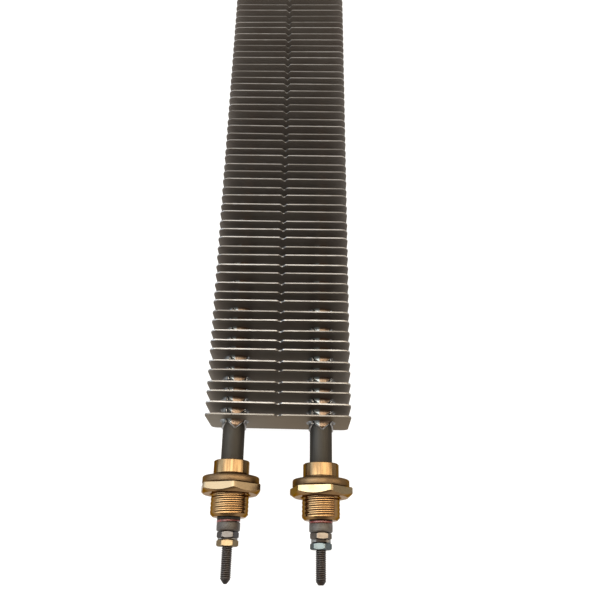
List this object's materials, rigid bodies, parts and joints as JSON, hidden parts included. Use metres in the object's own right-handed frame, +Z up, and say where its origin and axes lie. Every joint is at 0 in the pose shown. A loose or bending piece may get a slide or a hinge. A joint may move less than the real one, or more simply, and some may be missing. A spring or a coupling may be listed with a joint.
{
  "type": "finned heating element",
  "caption": "U-shaped sheathed tube heater through a stack of rectangular sheet fins, with brass threaded fittings, insulator beads and nutted studs on both ends.",
  "frame": {"origin": "middle of the outline, on the surface that the fins' long lower edges stand on", "axes": "+X across the fins from the left leg to the right leg, +Y along the legs from the terminals to the bend, +Z up from the fins' lower edges"},
  "size_m": [0.0568, 0.3074, 0.024],
  "materials": {
    "sheath_steel": "heat-darkened stainless steel, satin",
    "fin_steel": "rolled steel sheet, browned, bright sheared edges",
    "magnesia": "packed white powder",
    "coil_wire": "resistance wire",
    "brass": "turned brass, satin",
    "brass_nut": "brass hexagon nut, satin",
    "stud_steel": "dark threaded steel",
    "seal_red": "red sealing compound",
    "bead_ceramic": "grey ceramic, soiled",
    "nut_zinc": "zinc-plated steel",
    "washer_steel": "steel washer, dull"
  },
  "bodies": {
    "root": {"sheath": "sheath_steel", "fin_stack": "fin_steel", "magnesia_fill": "magnesia", "resistance_coil": "coil_wire", "left_fitting": "brass", "left_lock_nut": "brass_nut", "left_terminal_pin": "stud_steel", "left_end_seal": "seal_red", "left_insulator": "bead_ceramic", "left_inner_nut": "nut_zinc", "left_outer_nut": "nut_zinc", "right_fitting": "brass", "right_lock_nut": "brass_nut", "right_terminal_pin": "stud_steel", "right_end_seal": "seal_red", "right_insulator": "bead_ceramic", "right_inner_nut": "nut_zinc", "right_outer_nut": "nut_zinc", "left_plain_washer": "washer_steel", "right_spring_washer": "washer_steel"}
  },
  "joints": []
}
